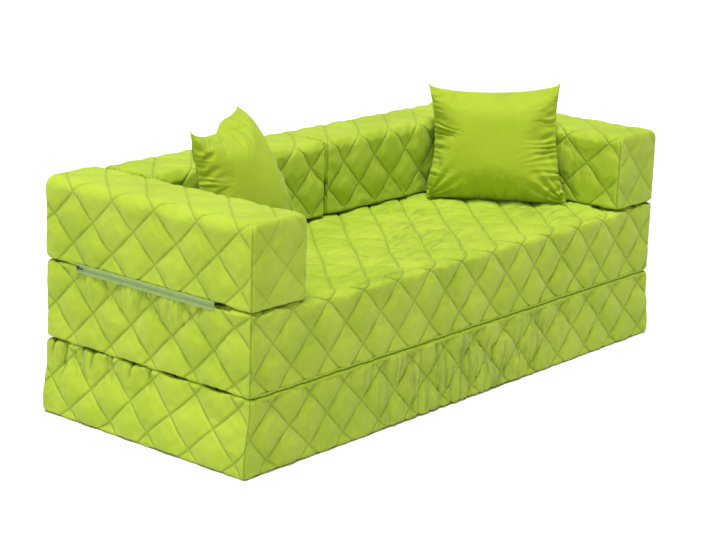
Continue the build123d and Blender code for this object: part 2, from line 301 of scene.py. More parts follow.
def make_quilted():
    """Lime cover cloth with its seams, puckers and weave."""
    finish = Finish("quilted_lime_cloth", LIME, 0.70, Sheen_Weight=0.22, Sheen_Roughness=0.45,
                    Sheen_Tint=SHEEN_TINT, Specular_IOR_Level=0.45)
    quilt, u, v = finish.cloth_place("quilt")
    lines = (u + v, u - v)
    near = [finish.maths("ABSOLUTE", line - finish.maths("ROUND", line)) for line in lines]
    puckers, stitches = [], []
    for line, along, away in zip(lines, reversed(lines), near):
        spot = finish.node("CombineXYZ", {}, {"X": along * PUCKERS, "Y": line * 1.3})
        puckers.append(finish.noise(spot, 1.0, 1.5) * finish.ramp(away, 0.02, 0.26, 1.0, 0.0))
        dash = finish.ramp(finish.maths("FRACT", along * STITCHES), 0.10, 0.30)
        stitches.append(finish.ramp(away, 0.004, 0.010, 1.0, 0.0) * dash)
    pucker = puckers[0] + puckers[1]
    stitch = finish.maths("MAXIMUM", *stitches)
    groove = finish.ramp(finish.maths("MINIMUM", *near), 0.0, SEAM_WIDTH, 1.0, 0.0)
    gather, seam = finish.carried("gather"), finish.carried("seam")
    welt = finish.ramp(finish.carried("welt"), 0.3, 0.8)

    long_folds = finish.streaks(quilt, (14.0, 0.9, 1.0), 2.5, 0.6)
    crisp = 1 - finish.maths("ABSOLUTE", long_folds * 2 - 1)
    broken = finish.streaks(quilt, (5.0, 0.8, 1.0), 1.0)
    crease = finish.ramp(crisp, 0.84, 0.97) * finish.ramp(gather, 0.3, 0.9)
    crease = crease * finish.ramp(broken, 0.45, 0.6)
    slub = finish.streaks(quilt, (300.0, 60.0, 1.0))
    height = (pucker * 0.80 + stitch * 0.3 - groove * 0.9) * seam - welt * 0.5
    height = height - crisp * gather * 2.0 - crease * 0.7
    height = height + finish.weave(quilt, THREADS) * 0.035 + slub * 0.03
    finish.relief(height, 2.6 * MM)

    cloth = finish.mottled(finish.noise(finish.place(), 5.0, 3.0), LIME_DEEP, LIME_PALE)
    cloth = finish.blend(0.55, cloth, LIME)
    cloth = finish.blend(slub * 0.14, cloth, LIME_PALE)
    # Painted shade: the seams' grooves, the creases and the pleat lines are darkened towards the shade
    # colour. The corner seams' dark line is mixed in the same way.
    dark = finish.maths("MAXIMUM", welt * 0.85, crease * 0.42)
    cloth = finish.blend(finish.maths("MAXIMUM", groove * seam * 0.34, dark), cloth, SEAM_LINE_AND_SHADE)
    finish.feed("Base Color", finish.blend(stitch * seam * 0.45, cloth, LIME_DEEP))
    finish.matt(slub, 0.62, 0.76)
    return finish.material


quilted = make_quilted()
print(quilted.name, len(quilted.node_tree.nodes), "nodes")

# %% [markdown]
# ## Cloth of the pillows
# The throw pillows are in the same lime, in a plain unquilted cloth that is a little smoother.
# The wrinkles of the filling come from the simulated shape, so the material adds only the weave
# and a faint unevenness.


# %% Plain pillow cloth
def make_pillow_cloth():
    """Plain lime weave."""
    finish = Finish("plain_lime_cloth", PLAIN, 0.72, Sheen_Weight=0.28, Sheen_Roughness=0.4,
                    Sheen_Tint=SHEEN_TINT, Specular_IOR_Level=0.35)
    place = finish.cloth_place("quilt")[0]
    slub = finish.streaks(place, (260.0, 40.0, 1.0))
    cross = finish.streaks(place, (40.0, 260.0, 1.0))
    creases = finish.streaks(place, (5.0, 3.0, 1.0), 4.0, 0.6)
    threads = finish.weave(place, THREADS) + slub + cross
    finish.relief(threads * 0.04 + creases * 0.9, 2.0 * MM)
    cloth = finish.mottled(finish.noise(finish.place(), 7.0, 3.0), PLAIN_DEEP, PLAIN)
    finish.feed("Base Color", finish.blend((slub + cross) * 0.09, cloth, LIME_PALE))
    finish.matt(slub, 0.70, 0.84)
    return finish.material


pillow_cloth = make_pillow_cloth()
print(pillow_cloth.name, len(pillow_cloth.node_tree.nodes), "nodes")

# %% [markdown]
# ## Tape, fold, metal and filling
# The zip's tape is a paler and greener cloth with two sewn lines, and shade is painted in the
# bed on each side of the coil. Its pattern follows the strip's own UV map. The fold at the front
# is cover cloth that is drawn together, with painted shade down its middle where it dips into the
# joint. Hard parts are scuffed, and the foam and the fibre inside show only if a cover is opened.


# %% Tape, fold, metal and filling
def make_tape():
    """Pale woven cloth with two sewn lines and painted shade in the bed on each side of the coil."""
    finish = Finish("zip_tape_cloth", TAPE, 0.7, Sheen_Weight=0.15, Specular_IOR_Level=0.3)
    _, along, across = finish.cloth_place("UVMap")
    away = finish.maths("ABSOLUTE", across - 0.5)
    bed = finish.band(away, 0.13, 0.01, 0.06)
    dash = finish.ramp(finish.maths("FRACT", along * 150), 0.15, 0.35)
    sewn = finish.band(away, 0.36, 0.01, 0.03) * dash
    place = finish.place()
    thread = finish.weave(place, 260.0)
    worn = finish.noise(place, 60.0, 3.0)
    pale = finish.ramp(thread * 0.5 + worn * 0.5, 0.3, 0.75, 0.25, 1.0)
    # Painted shade in the bed on each side of the coil.
    colour = finish.blend(bed * 0.6, finish.blend(pale, TAPE_DEEP, TAPE), TAPE_DEEP)
    finish.feed("Base Color", finish.blend(sewn * 0.6, colour, LIME_PALE))
    finish.matt(worn, 0.62, 0.8)
    finish.relief(thread * 0.5 + worn * 0.4 + sewn * 0.8 - bed, 0.4 * MM)
    return finish.material


def make_fold_cloth():
    """Cover cloth that is drawn together, with painted shade down its middle where it dips into the joint.
    """
    finish = Finish("fold_cloth", LIME, 0.74, Sheen_Weight=0.2, Specular_IOR_Level=0.25)
    _, along, across = finish.cloth_place("UVMap")
    spot = finish.node("CombineXYZ", {}, {"X": along * 190, "Y": across * 1.5})
    puckers = finish.noise(spot, 1.0, 2.0)
    colour = finish.mottled(puckers, LIME_DEEP, LIME)
    # Painted shade down the middle of the strip, where it lies deepest in the joint.
    finish.feed("Base Color", finish.blend(finish.band(across, 0.5, 0.06, 0.18) * 0.7, colour, SHADE))
    finish.matt(puckers, 0.70, 0.85)
    finish.relief(puckers + finish.weave(finish.place(), 220.0) * 0.05, 2.0 * MM)
    return finish.material


def make_hard(name, colour, dark, roughness, metallic):
    """Hard part of a zip, scuffed where it is handled."""
    finish = Finish(name, colour, roughness, Metallic=metallic)
    scuff = finish.noise(finish.place(), 420.0, 4.0, 0.6)
    broad = finish.noise(finish.place(), 90.0, 2.0)
    rubbed = finish.ramp(scuff * 0.6 + broad * 0.4, 0.38, 0.6)
    finish.feed("Base Color", finish.blend(rubbed, dark, colour))
    finish.matt(scuff, roughness - 0.1, roughness + 0.15)
    finish.relief(scuff * 0.5 + broad * 0.5, 0.12 * MM)
    return finish.material


def make_stuffing(name, colour, deep, grain):
    """Foam or fibre inside a cover: open cells and soft lumps."""
    finish = Finish(name, colour, 0.9)
    inputs = {"Vector": finish.place(), "Scale": grain}
    pores = finish.node("TexVoronoi", {"feature": "DISTANCE_TO_EDGE"}, inputs)
    lumps = finish.noise(finish.place(), grain / 12, 4.0)
    finish.feed("Base Color", finish.blend(finish.ramp(pores, 0.0, 0.25), deep, colour))
    finish.matt(lumps, 0.85, 0.97)
    finish.relief(pores * 0.8 + lumps * 0.6, 1.0 * MM)
    return finish.material


tape_cloth = make_tape()
fold_cloth = make_fold_cloth()
coil_plastic = make_hard("zip_coil_plastic", COIL, COIL_DEEP, 0.45, 0.0)
slider_metal = make_hard("zip_slider_metal", METAL, METAL_DEEP, 0.38, 0.8)
foam_finish = make_stuffing("foam_cells", FOAM, FOAM_DEEP, 420.0)
filling_finish = make_stuffing("pillow_fibre", FIBRE, FIBRE_DEEP, 160.0)
print(len(bpy.data.materials), "materials")

# %% [markdown]
# ## Finish of the construction model's parts
# Every part gets its finish by the end of its name. The foam cores, the sliders and the pulls
# have their right shape already and stay. The covers, the pillows with their filling, the tapes
# with their teeth and the front fold are soft or very fine, and a piece that is modelled further
# down stands for each of them.

# %% Finish by name
NODE_FINISHES = {
    "foam": foam_finish,
    "filling": filling_finish,
    "slider": slider_metal,
    "pull": slider_metal,
    "teeth": coil_plastic,
    "tape": tape_cloth,
    "piping": fold_cloth,
    "flap": fold_cloth,
    "pillow_cover": pillow_cloth,
    "cover": quilted,
}


def dress_node(name, part):
    """Give a part of the construction model the finish that its name ends with."""
    finish = next(found for ending, found in NODE_FINISHES.items() if name.endswith(ending))
    part.data.materials.clear()
    part.data.materials.append(finish)


for node_name, node_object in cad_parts.items():
    dress_node(node_name, node_object)
print("finished", len(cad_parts), "parts of the construction model")

# %% [markdown]
# ## A ruled block
# Each cover starts as a cube whose edges are subdivided until every face is ruled into cells.
# Sculpting a box that is already ruled keeps the seams where the sewing machine put them, and a
# remesh would lose them. The rows are not all the same height, because the quilt starts at its
# own distance below each top edge.


# %% Helpers to pick a piece and to move its points
MOST_CUTS = 100


def start_clean():
    """Object mode, with nothing selected."""
    if bpy.context.object is not None and bpy.context.object.mode != "OBJECT":
        bpy.ops.object.mode_set(mode="OBJECT")
    bpy.ops.object.select_all(action="DESELECT")


def pick(piece):
    """Select one piece alone."""
    start_clean()
    bpy.context.view_layer.objects.active = piece
    piece.select_set(True)


def named(name):
    """The primitive that was just added, under its own name."""
    piece = bpy.context.object
    piece.name = piece.data.name = name
    return piece


def apply_modifier(piece, kind, **settings):
    """Add a modifier with these settings, and make its result real."""
    added = piece.modifiers.new(kind.lower(), kind)
    for name, value in settings.items():
        setattr(added, name, value)
    bpy.ops.object.modifier_apply(modifier=added.name)


def read_points(piece):
    """Places of all points of a mesh."""
    places = np.empty(len(piece.data.vertices) * 3)
    piece.data.vertices.foreach_get("co", places)
    return places.reshape(-1, 3)


def read_normals(piece):
    """Outward directions at all points of a mesh."""
    directions = np.empty(len(piece.data.vertices) * 3)
    piece.data.vertices.foreach_get("normal", directions)
    return directions.reshape(-1, 3)


def write_points(piece, places):
    """Move all points of a mesh."""
    piece.data.vertices.foreach_set("co", np.ascontiguousarray(places, dtype=np.float32).ravel())
    piece.data.update()


def ruled_cube(name, cells):
    """Unit cube whose faces are ruled into this many cells along x, y and z."""
    start_clean()
    bpy.ops.mesh.primitive_cube_add(size=1, location=(0, 0, 0))
    piece = named(name)
    bpy.ops.object.mode_set(mode="EDIT")
    bpy.ops.mesh.select_mode(type="EDGE")
    for axis, count in enumerate(cells):
        steps = [count // CELLS, CELLS] if count > MOST_CUTS else [count]
        for step in steps:
            bpy.ops.mesh.select_all(action="DESELECT")
            mesh = bmesh.from_edit_mesh(piece.data)
            for edge in mesh.edges:
                run = edge.verts[0].co - edge.verts[1].co
                edge.select_set(abs(run[axis]) > 0.5 * run.length)
            bmesh.update_edit_mesh(piece.data)
            bpy.ops.mesh.subdivide(number_cuts=step - 1)
    bpy.ops.object.mode_set(mode="OBJECT")
    return piece


def cell_numbers(piece, cells):
    """Whole cell numbers of every point of a ruled cube."""
    return np.rint((read_points(piece) + 0.5) * np.array(cells)).astype(int)


# %% [markdown]
# ## Quilt coordinates
# Every face gets its own pair of coordinates, counted in diamonds from one crossing of two
# seams. They are kept as a UV map, so that the cloth's material can draw the thread exactly in
# its groove. Cells that a seam crosses are split along it, because a plain square cell would
# make the seam zigzag.


# %% Cloth coordinates of a mesh
def corner_numbers(mesh):
    """Number of the point at every face corner."""
    numbers = np.empty(len(mesh.loops), dtype=int)
    mesh.loops.foreach_get("vertex_index", numbers)
    return numbers


def write_quilt(mesh, coordinates):
    """Keep these coordinates of the face corners as the mesh's only UV map."""
    for layer in list(mesh.uv_layers):
        mesh.uv_layers.remove(layer)
    mesh.uv_layers.new(name="quilt").uv.foreach_set("vector", coordinates.ravel())


def lay_quilt(piece, numbers, cells, crossings):
    """Quilt coordinates of all face corners, counted from one crossing of seams on each side."""
    faces = corner_numbers(piece.data).reshape(-1, 4)
    places = numbers[faces]
    quilt = np.zeros((len(faces), 4, 2))
    for (axis, end), (first, second) in crossings.items():
        on_side = (places[:, :, axis] == end * cells[axis]).all(axis=1)
        column = places[on_side][:, :, 1 if axis == 0 else 0]
        row = places[on_side][:, :, 1] if axis == 2 else cells[2] - places[on_side][:, :, 2]
        pair = (column - first, row - second)
        quilt[on_side] = np.stack(pair[::-1] if axis == 2 else pair, axis=-1) / CELLS
    write_quilt(piece.data, quilt)
    return faces, quilt


def seam_distance(quilt):
    """Distances from the nearest seam of each family, 0 on it and 1 half way between two."""
    lines = np.stack((quilt[..., 0] + quilt[..., 1], quilt[..., 0] - quilt[..., 1]), axis=-1)
    return 2 * np.abs(lines - np.rint(lines))


# %% Edges of the mesh along the seams
SEAM_CREASE = 0.75
ON_SEAM = 1e-4


def split_seam_cells(piece):
    """Split every cell that a seam crosses, along the seam."""
    mesh = bmesh.new()
    mesh.from_mesh(piece.data)
    layer = mesh.loops.layers.uv["quilt"]
    crease = mesh.edges.layers.float.new("crease_edge")
    split = 0
    for face in list(mesh.faces):
        spots = [loop[layer].uv for loop in face.loops]
        corners = [loop.vert for loop in face.loops]
        for one, other in ((0, 2), (1, 3)):
            sums = [spots[n][0] + spots[n][1] for n in (one, other)]
            steps = [spots[n][0] - spots[n][1] for n in (one, other)]
            if any(abs(a - b) < ON_SEAM and abs(a - round(a)) < ON_SEAM for a, b in (sums, steps)):
                _, loop = bmesh.utils.face_split(face, corners[one], corners[other])
                loop.edge[crease] = SEAM_CREASE
                split += 1
                break
    mesh.to_mesh(piece.data)
    mesh.free()
    return split


def hold(piece, sewn):
    """Mark the points that the simulation keeps where they are."""
    group = piece.vertex_groups.new(name="held")
    group.add(np.flatnonzero(sewn).tolist(), 1.0, "REPLACE")


# %% [markdown]
# ## Rounding the edges
# Foam under wadding has soft edges. The ruled cube is sharp, so the points near an edge are
# swung on to an arc: the square of cells at the edge becomes a quarter of a disc. That keeps
# the rows evenly spaced round the edge, which a bevel would not.


# %% Swing points on to rounded edges
def rounded(places, low, high, rounds):
    """Places of a sharp box's points with its edges rounded. rounds maps pairs of sides to radii."""
    moved = np.zeros_like(places)
    for sides, radius in rounds.items():
        depth = []
        for axis, end in sides:
            inside = high[axis] - places[:, axis] if end else places[:, axis] - low[axis]
            depth.append(np.clip(radius - inside, 0, None))
        near_edge = (depth[0] > 0) & (depth[1] > 0)
        far = np.where(near_edge, np.maximum(depth[0], depth[1]), 1)
        path = np.where(depth[0] >= depth[1], depth[1], 2 * far - depth[0])
        angle = path / far * math.pi / 4
        for (axis, end), old, new in zip(sides, depth, (far * np.cos(angle), far * np.sin(angle))):
            step = np.where(near_edge, new - old, 0)
            moved[:, axis] += step if end else -step
    return places + moved


# %% [markdown]
# ## Waves of cloth
# Real wrinkles are uneven, but they have a size and a direction. A sum of a few waves with
# seeded random phases gives that: it is smooth, it never repeats, and it is the same each run.


# %% Seeded waves and soft steps
WAVE_PEAK = 1.6


def waves(places, lengths, seed, count=9):
    """Smooth uneven field of about -1 to 1, with wave lengths along x, y and z in metres."""
    draw = np.random.default_rng(seed)
    total = np.zeros(len(places))
    for _ in range(count):
        direction = draw.normal(size=3)
        direction /= np.linalg.norm(direction)
        stretch = draw.uniform(0.7, 1.35)
        turn = draw.uniform(0, 2 * math.pi)
        total += np.cos(2 * math.pi * stretch * (places / np.array(lengths)) @ direction + turn)
    return total / math.sqrt(count / 2) / WAVE_PEAK


def smooth(value, start, end):
    """0 before start, 1 after end and an even curve between."""
    share = np.clip((value - start) / (end - start), 0, 1)
    return share * share * (3 - 2 * share)


def bell(value, width):
    """1 at zero, and falling off evenly on both sides over about the width."""
    return np.exp(-(value / width) ** 2)


# %% [markdown]
# ## The six blocks
# Each block's rows, crossings and edge radii are listed here. The crossings are cell numbers
# read off the photograph: where two seams meet on each face. On neighbouring faces they are
# chosen so that seams run on over the soft top edges, as one cloth does. A ruling has stretches
# along x, along y and down from the top, and each stretch is a length in mm with its cells.

# %% Rows, crossings and edges of the blocks
LEFT, RIGHT, FRONT, REAR, BOTTOM, TOP = (0, 0), (0, 1), (1, 0), (1, 1), (2, 0), (2, 1)
LOW_ROUND = 12 * MM
CORNER_ROUND = 8 * MM
SEAT_ROUND = 28 * MM
RING_ROUND = 35 * MM


def rule(start, stretches):
    """Places of the lines between cells. A stretch with a negative length runs down."""
    lines = [start]
    for run, count in stretches:
        lines.extend(lines[-1] + run * MM * np.arange(1, count + 1) / count)
    return np.sort(lines)


def edge_rounds(front=LOW_ROUND, rear=LOW_ROUND, left=LOW_ROUND, right=LOW_ROUND):
    """Radii of a block's twelve edges, of which the four top ones can be set."""
    sides = (FRONT, REAR, LEFT, RIGHT)
    rounds = {(side, BOTTOM): LOW_ROUND for side in sides}
    rounds.update({(side, TOP): radius for side, radius in zip(sides, (front, rear, left, right))})
    rounds.update({(side, end): CORNER_ROUND for side in (LEFT, RIGHT) for end in (FRONT, REAR)})
    return rounds


def seam_crossings(left, right, front, rear, level):
    """One crossing of two seams on each side of a block, in cells. The underside repeats the top."""
    return dict(zip((LEFT, RIGHT, FRONT, REAR, TOP, BOTTOM), (left, right, front, rear, level, level)))


# %% Plans of the blocks
ACROSS_RING = ((35, 3), (154, 16), (35, 3))
LONG = ((2000, DIAMONDS_LONG * CELLS),)
DEEP = ((840, DIAMONDS_DEEP * CELLS),)
HALF_ROW = (-80, CELLS // 2)
PLAN = ((-HALF_LENGTH, HALF_LENGTH), (-HALF_DEPTH, HALF_DEPTH))
RING = (SEAT_TOP, RING_TOP)
BACK_START = SPLIT_GAP / 2
BACK_END = ARM_FACE - END_GAP


def arm_plan(across):
    """Plan of one arm, from where it spans along x."""
    return {
        "span": (across, PLAN[1], RING),
        "ruling": (ACROSS_RING, DEEP, ((-30, 2), HALF_ROW, HALF_ROW, (-62, 6))),
        "crossings": seam_crossings((37, 2), (45, 0), (14, 13), (14, 13), (6, 45)),
        "rounds": edge_rounds(left=RING_ROUND, right=RING_ROUND),
    }


def back_plan(along):
    """Plan of one half of the backrest, from where it spans along x."""
    run = ((along[1] - along[0]) / MM, DIAMONDS_BACK * CELLS)
    return {
        "span": (along, (BACK_FACE, HALF_DEPTH), RING),
        "ruling": ((run,), ACROSS_RING, ((-85, 7), HALF_ROW, (-87, 9))),
        "crossings": seam_crossings((11, 7), (11, 7), (10, 7), (10, 3), (2, 1)),
        "rounds": edge_rounds(front=RING_ROUND, rear=RING_ROUND),
    }


BLOCKS = {
    "base": {
        "span": (*PLAN, (0, BASE_TOP)),
        "ruling": (LONG, DEEP, ((-34, 3), HALF_ROW, HALF_ROW, (-36, 4))),
        "crossings": seam_crossings((37, 3), (37, 3), (2, 11), (2, 11), (10, 5)),
        "rounds": edge_rounds(),
        "flare": 20 * MM,
    },
    "seat": {
        "span": (*PLAN, (BASE_TOP, SEAT_TOP)),
        "ruling": (LONG, ((69, 5), (771, 75)), ((-23, 3), HALF_ROW, HALF_ROW, (-61, 6))),
        "crossings": seam_crossings((37, 6), (37, 6), (10, 11), (10, 11), (10, 5)),
        "rounds": edge_rounds(front=SEAT_ROUND),
    },
    "left_arm": arm_plan((-HALF_LENGTH, -ARM_FACE)),
    "right_arm": arm_plan((ARM_FACE, HALF_LENGTH)),
    "left_back": back_plan((-BACK_END, -BACK_START)),
    "right_back": back_plan((BACK_START, BACK_END)),
}
print(len(BLOCKS), "blocks planned")

# %% [markdown]
# ## From ruled cube to quilted block
# The seams lie under the block's surface and the cloth rises between them in a steep arch that
# flattens towards the middle of each diamond. This first shape is what the simulation starts
# from, and it is also close to the finished one, so the cloth only has to settle.


# %% Shape a block before its cloth is simulated
SEAM_WANDER = 3.2 * MM
ARCH_STEEP = 2.6
ARCH_ROUND = 0.62
DEPTH_DRIFT = 0.22
EDGE_SHARE = 0.22
RING_TOP_LOSS = 0.5
FRONT_LOSS = 0.2
ARM_FRONT_LOSS = 0.55
TOP_LOSS = 0.3


def block_box(plan):
    """Lowest and highest corner of a block."""
    return np.array(plan["span"], float).T


def hard_edge_distance(sharp, low, high, rounds):
    """Distance of every point from the nearest sewn edge, which is any edge with a small radius."""
    least = np.full(len(sharp), 1.0)
    for sides, radius in rounds.items():
        if radius <= LOW_ROUND:
            inside = [high[axis] - sharp[:, axis] if end else sharp[:, axis] - low[axis]
                      for axis, end in sides]
            least = np.minimum(least, np.hypot(*inside))
    return least


def flare_at(plan, places):
    """How far the foot of a block that carries the others is pressed out sideways."""
    x, _, z = places.T
    end = np.sign(x) * smooth(np.abs(x), 0.7 * HALF_LENGTH, 0.99 * HALF_LENGTH)
    return plan.get("flare", 0.0) * end * smooth(z, 0.9 * BASE_TOP, 0.2 * BASE_TOP)


def seam_strength(name, places):
    """How plainly the quilting shows: less on the fronts and the tops, least on the arms' fronts."""
    front = smooth(-places[:, 1], HALF_DEPTH - EDGE_FADE, HALF_DEPTH - 15 * MM)
    top = smooth(places[:, 2], RING_TOP - EDGE_FADE, RING_TOP - 15 * MM)
    loss = ARM_FRONT_LOSS if name.endswith("arm") else FRONT_LOSS
    return (1 - front * loss) * (1 - TOP_LOSS * top)


def seam_depth(name, places, room):
    """How deep a seam lies under the block's surface at each place."""
    depth = QUILT_DEPTH * (1 + DEPTH_DRIFT * waves(places, (0.4, 0.4, 0.4), len(name)))
    depth *= EDGE_SHARE + (1 - EDGE_SHARE) * smooth(room, 0, EDGE_FADE)
    depth *= 1 - RING_TOP_LOSS * smooth(places[:, 2], RING_TOP - 60 * MM, RING_TOP - 25 * MM)
    return depth * seam_strength(name, places)


def nearest_seams(count, faces, quilt):
    """Distance of every point from the nearest seam of each family, in half diamonds."""
    gaps = seam_distance(quilt)
    nearest = np.ones((count, 2))
    for corner in range(4):
        for family in (0, 1):
            np.minimum.at(nearest[:, family], faces[:, corner], gaps[:, corner, family])
    return nearest


def block_surface(name, plan, sharp, room):
    """Places on the block's rounded and flared surface, from its sharp box, with seams that wander."""
    low, high = block_box(plan)
    drift = np.stack([waves(sharp, (0.28, 0.28, 0.28), seed + len(name)) for seed in (11, 12, 13)], axis=-1)
    slack = np.minimum(sharp - low, high - sharp) > TINY
    sharp = sharp + drift * slack * (SEAM_WANDER * smooth(room, 0, EDGE_FADE))[:, None]
    places = rounded(sharp, low, high, plan["rounds"])
    if name == "seat":
        pressed = rounded(sharp, low, high, {**plan["rounds"], (FRONT, TOP): LOW_ROUND})
        under_arm = smooth(np.abs(sharp[:, 0]), ARM_FACE - 30 * MM, ARM_FACE + 15 * MM)[:, None]
        places = places * (1 - under_arm) + pressed * under_arm
    places[:, 0] += flare_at(plan, places)
    return places


def shape_block(name, plan):
    """Quilted block, with its seams marked for the simulation."""
    low, high = block_box(plan)
    grids = [rule(start, run) for start, run in zip((low[0], low[1], high[2]), plan["ruling"])]
    cells = tuple(len(lines) - 1 for lines in grids)
    piece = ruled_cube(f"{name}_quilted_cover", cells)
    numbers = cell_numbers(piece, cells)
    faces, quilt = lay_quilt(piece, numbers, cells, plan["crossings"])
    sharp = np.stack([grids[axis][numbers[:, axis]] for axis in (0, 1, 2)], axis=-1)
    room = hard_edge_distance(sharp, low, high, plan["rounds"])
    places = block_surface(name, plan, sharp, room)
    write_points(piece, places)

    nearest = nearest_seams(len(places), faces, quilt)
    arch = np.prod((1 - (1 - nearest) ** ARCH_STEEP) ** ARCH_ROUND, axis=1)
    sink = seam_depth(name, places, room) * (1 - arch)
    write_points(piece, places - read_normals(piece) * sink[:, None])

    on_seam = nearest.min(axis=1) < TINY
    on_x, on_y = ((numbers[:, axis] == 0) | (numbers[:, axis] == cells[axis]) for axis in (0, 1))
    foot = (numbers[:, 2] == 0) & (on_x | on_y)
    hold(piece, on_seam | (on_x & on_y) | foot)
    split = split_seam_cells(piece)
    print(f"{piece.name}: {len(piece.data.polygons)} faces, {split} split along seams")
    return piece


blocks = {name: shape_block(name, plan) for name, plan in BLOCKS.items()}

# %% [markdown]
# ## The throw pillows
# A pillow is two squares sewn together round their edge and stuffed. It starts as a thin ruled
# box, bent into a lens between its four seams, with the sides drawn in between pointed corners.
# Its place comes from the construction model's own rule: it leans across a corner of the seat.
# Turn and lean are in degrees, and the gaps to arm and backrest are in mm. The four corners are
# in halves of the pillow's size, read off the photograph, because a soft pillow hangs out of
# square. Sag and notch draw its edges in, belly fills it low down, and curl and rise bend its
# loose side.

# %% Places of the pillows
PILLOW_SIZE = 445 * MM
PILLOW_FRONT = 78 * MM
PILLOW_REAR = 34 * MM
PILLOW_CELLS = 76
PILLOW_FULLNESS = 0.42
PILLOW_HEM = 1.2 * MM
QUILT_STEP = 0.05
START_SHARE = 0.82
SIDE_PULL = 0.11
FOOT_SAG = 0.07
NOTCH_AT = -0.08
PILLOWS = {
    "left_pillow": {
        "side": -1, "turn": 24, "lean": 30, "arm_gap": 90, "back_gap": 14,
        "corners": ((-0.95, -0.62, -0.75), (0.75, -1.0, 0.0), (-0.95, 1.04, 0.0), (0.87, 1.06, 0.0)),
        "sag": 0.27, "notch": 0.15, "belly": 0.0, "gathers": 0.5, "gather_reach": 36 * MM,
        "curl": 34 * MM, "rise": 0.5,
    },
    "right_pillow": {
        "side": 1, "turn": 55, "lean": 36, "arm_gap": 22, "back_gap": 18,
        "corners": ((-0.99, -0.66, -0.45), (1.16, -0.71, -0.38), (-1.03, 0.91, 0.22), (0.98, 1.00, 0.27)),
        "sag": 0.17, "notch": 0.0, "belly": 0.30, "gathers": 1.15, "gather_reach": 62 * MM,
        "curl": 0.0, "rise": 0.0,
    },
}


def pillow_axes(name, plan):
    """Middle of a pillow's seam plane, and its directions across, up and out towards the front."""
    turn, lean, side = math.radians(plan["turn"]), math.radians(plan["lean"]), plan["side"]
    half = PILLOW_SIZE / 2
    across = Vector((math.cos(side * turn), -math.sin(side * turn), 0))
    back = Vector((math.sin(side * turn), math.cos(side * turn), 0))
    out = Vector((0, 0, math.sin(lean))) - back * math.cos(lean)
    up = out.cross(across)
    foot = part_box(f"{name}_cover")[0][2]
    middle_z = foot + half * math.cos(lean)
    climb = (RING_TOP - RING_ROUND - middle_z) / math.cos(lean)
    shift = back * (climb * math.sin(lean))
    middle_x = side * (ARM_FACE - plan["arm_gap"] * MM - half * math.cos(turn)) - shift.x
    middle_y = BACK_FACE - plan["back_gap"] * MM - half * math.sin(turn) - shift.y
    return Vector((middle_x, middle_y, middle_z)), across, up, out


def between(first, last, share):
    """Places on the way from the first to the last."""
    return first * (1 - share) + last * share


def pillow_sheet(across, up, plan):
    """Sheet between a pillow's four corners, with its edges drawn in, and the way that it faces."""
    aside = ((1 + across * (1 - SIDE_PULL * (1 - up ** 2))) / 2)[:, None]
    bow = (1 - across ** 2) ** 0.5
    notch = plan["notch"] * bell(across - NOTCH_AT, 0.17)
    top_sag = plan["sag"] * bow * (1 + notch) / (1 + plan["notch"])
    top_sag = top_sag * (1 - plan["rise"] * smooth(across, -0.45, 0.5))
    sag = np.where(up > 0, top_sag, (FOOT_SAG - 0.4 * plan["belly"]) * bow)
    raised = ((1 + up - np.sign(up) * sag * up ** 2) / 2)[:, None]
    lower_left, lower_right, upper_left, upper_right = np.array(plan["corners"]) * (PILLOW_SIZE / 2)
    foot, head = between(lower_left, lower_right, aside), between(upper_left, upper_right, aside)
    level = between(lower_right - lower_left, upper_right - upper_left, raised)
    upright = between(upper_left - lower_left, upper_right - lower_right, aside)
    facing = np.cross(level, upright)
    return between(foot, head, raised), facing / np.linalg.norm(facing, axis=1)[:, None]


def shape_pillow(name, plan):
    """Pillow before its cloth is simulated, with its sewn edge marked."""
    cells = (PILLOW_CELLS, 2, PILLOW_CELLS)
    piece = ruled_cube(f"{name}_cloth", cells)
    numbers = cell_numbers(piece, cells)
    write_quilt(piece.data, numbers[corner_numbers(piece.data)][:, (0, 2)] * QUILT_STEP)
    across, up = (numbers[:, (0, 2)] / PILLOW_CELLS * 2 - 1).T
    sheet, facing = pillow_sheet(across, up, plan)

    front, seam = numbers[:, 1] == 0, numbers[:, 1] == 1
    swell = ((1 - across ** 2) * (1 - up ** 2)) ** PILLOW_FULLNESS
    puff = np.where(front, PILLOW_FRONT * START_SHARE, -PILLOW_REAR * START_SHARE) * swell
    puff += np.where(front, 1, -1) * PILLOW_HEM
    puff = np.where(front, puff * (1 + plan["belly"] * smooth(up, 0.2, -0.7)), puff)
    puff[seam] = 0
    local = sheet + facing * puff[:, None]
    local[:, 2] += plan["curl"] * (1 - up ** 2) * ((1 + across) / 2) ** 2
    middle, along, rise, out = (np.array(axis) for axis in pillow_axes(name, plan))
    write_points(piece, middle + local @ np.stack((along, rise, out)))
    hold(piece, seam)
    print(f"{piece.name}: middle at", [round(number, 3) for number in middle])
    return piece


pillows = {name: shape_pillow(name, plan) for name, plan in PILLOWS.items()}

# %% [markdown]
# ## Simulating the cloth
# Blender's Cloth blows each cover up from inside, while the seams stay where the needle put
# them. The cloth is a little larger than the shape, as wadding makes it, so it gathers along
# the seams. All pieces are simulated together. Each result is read back, every movement is eased
# off below a cap, and the places are written into the mesh, so no simulation is left on a piece.


# %% Run the cloth of all pieces at once
LAST_FRAME = 14
BLOCK_CLOTH = {"pressure": 1.5, "growth": 0.035, "stiffness": 12}
BLOCK_CAP = 3.5 * MM
PILLOW_CLOTH = {"pressure": 5.0, "growth": 0.05, "stiffness": 10}
PILLOW_CAP = 30 * MM


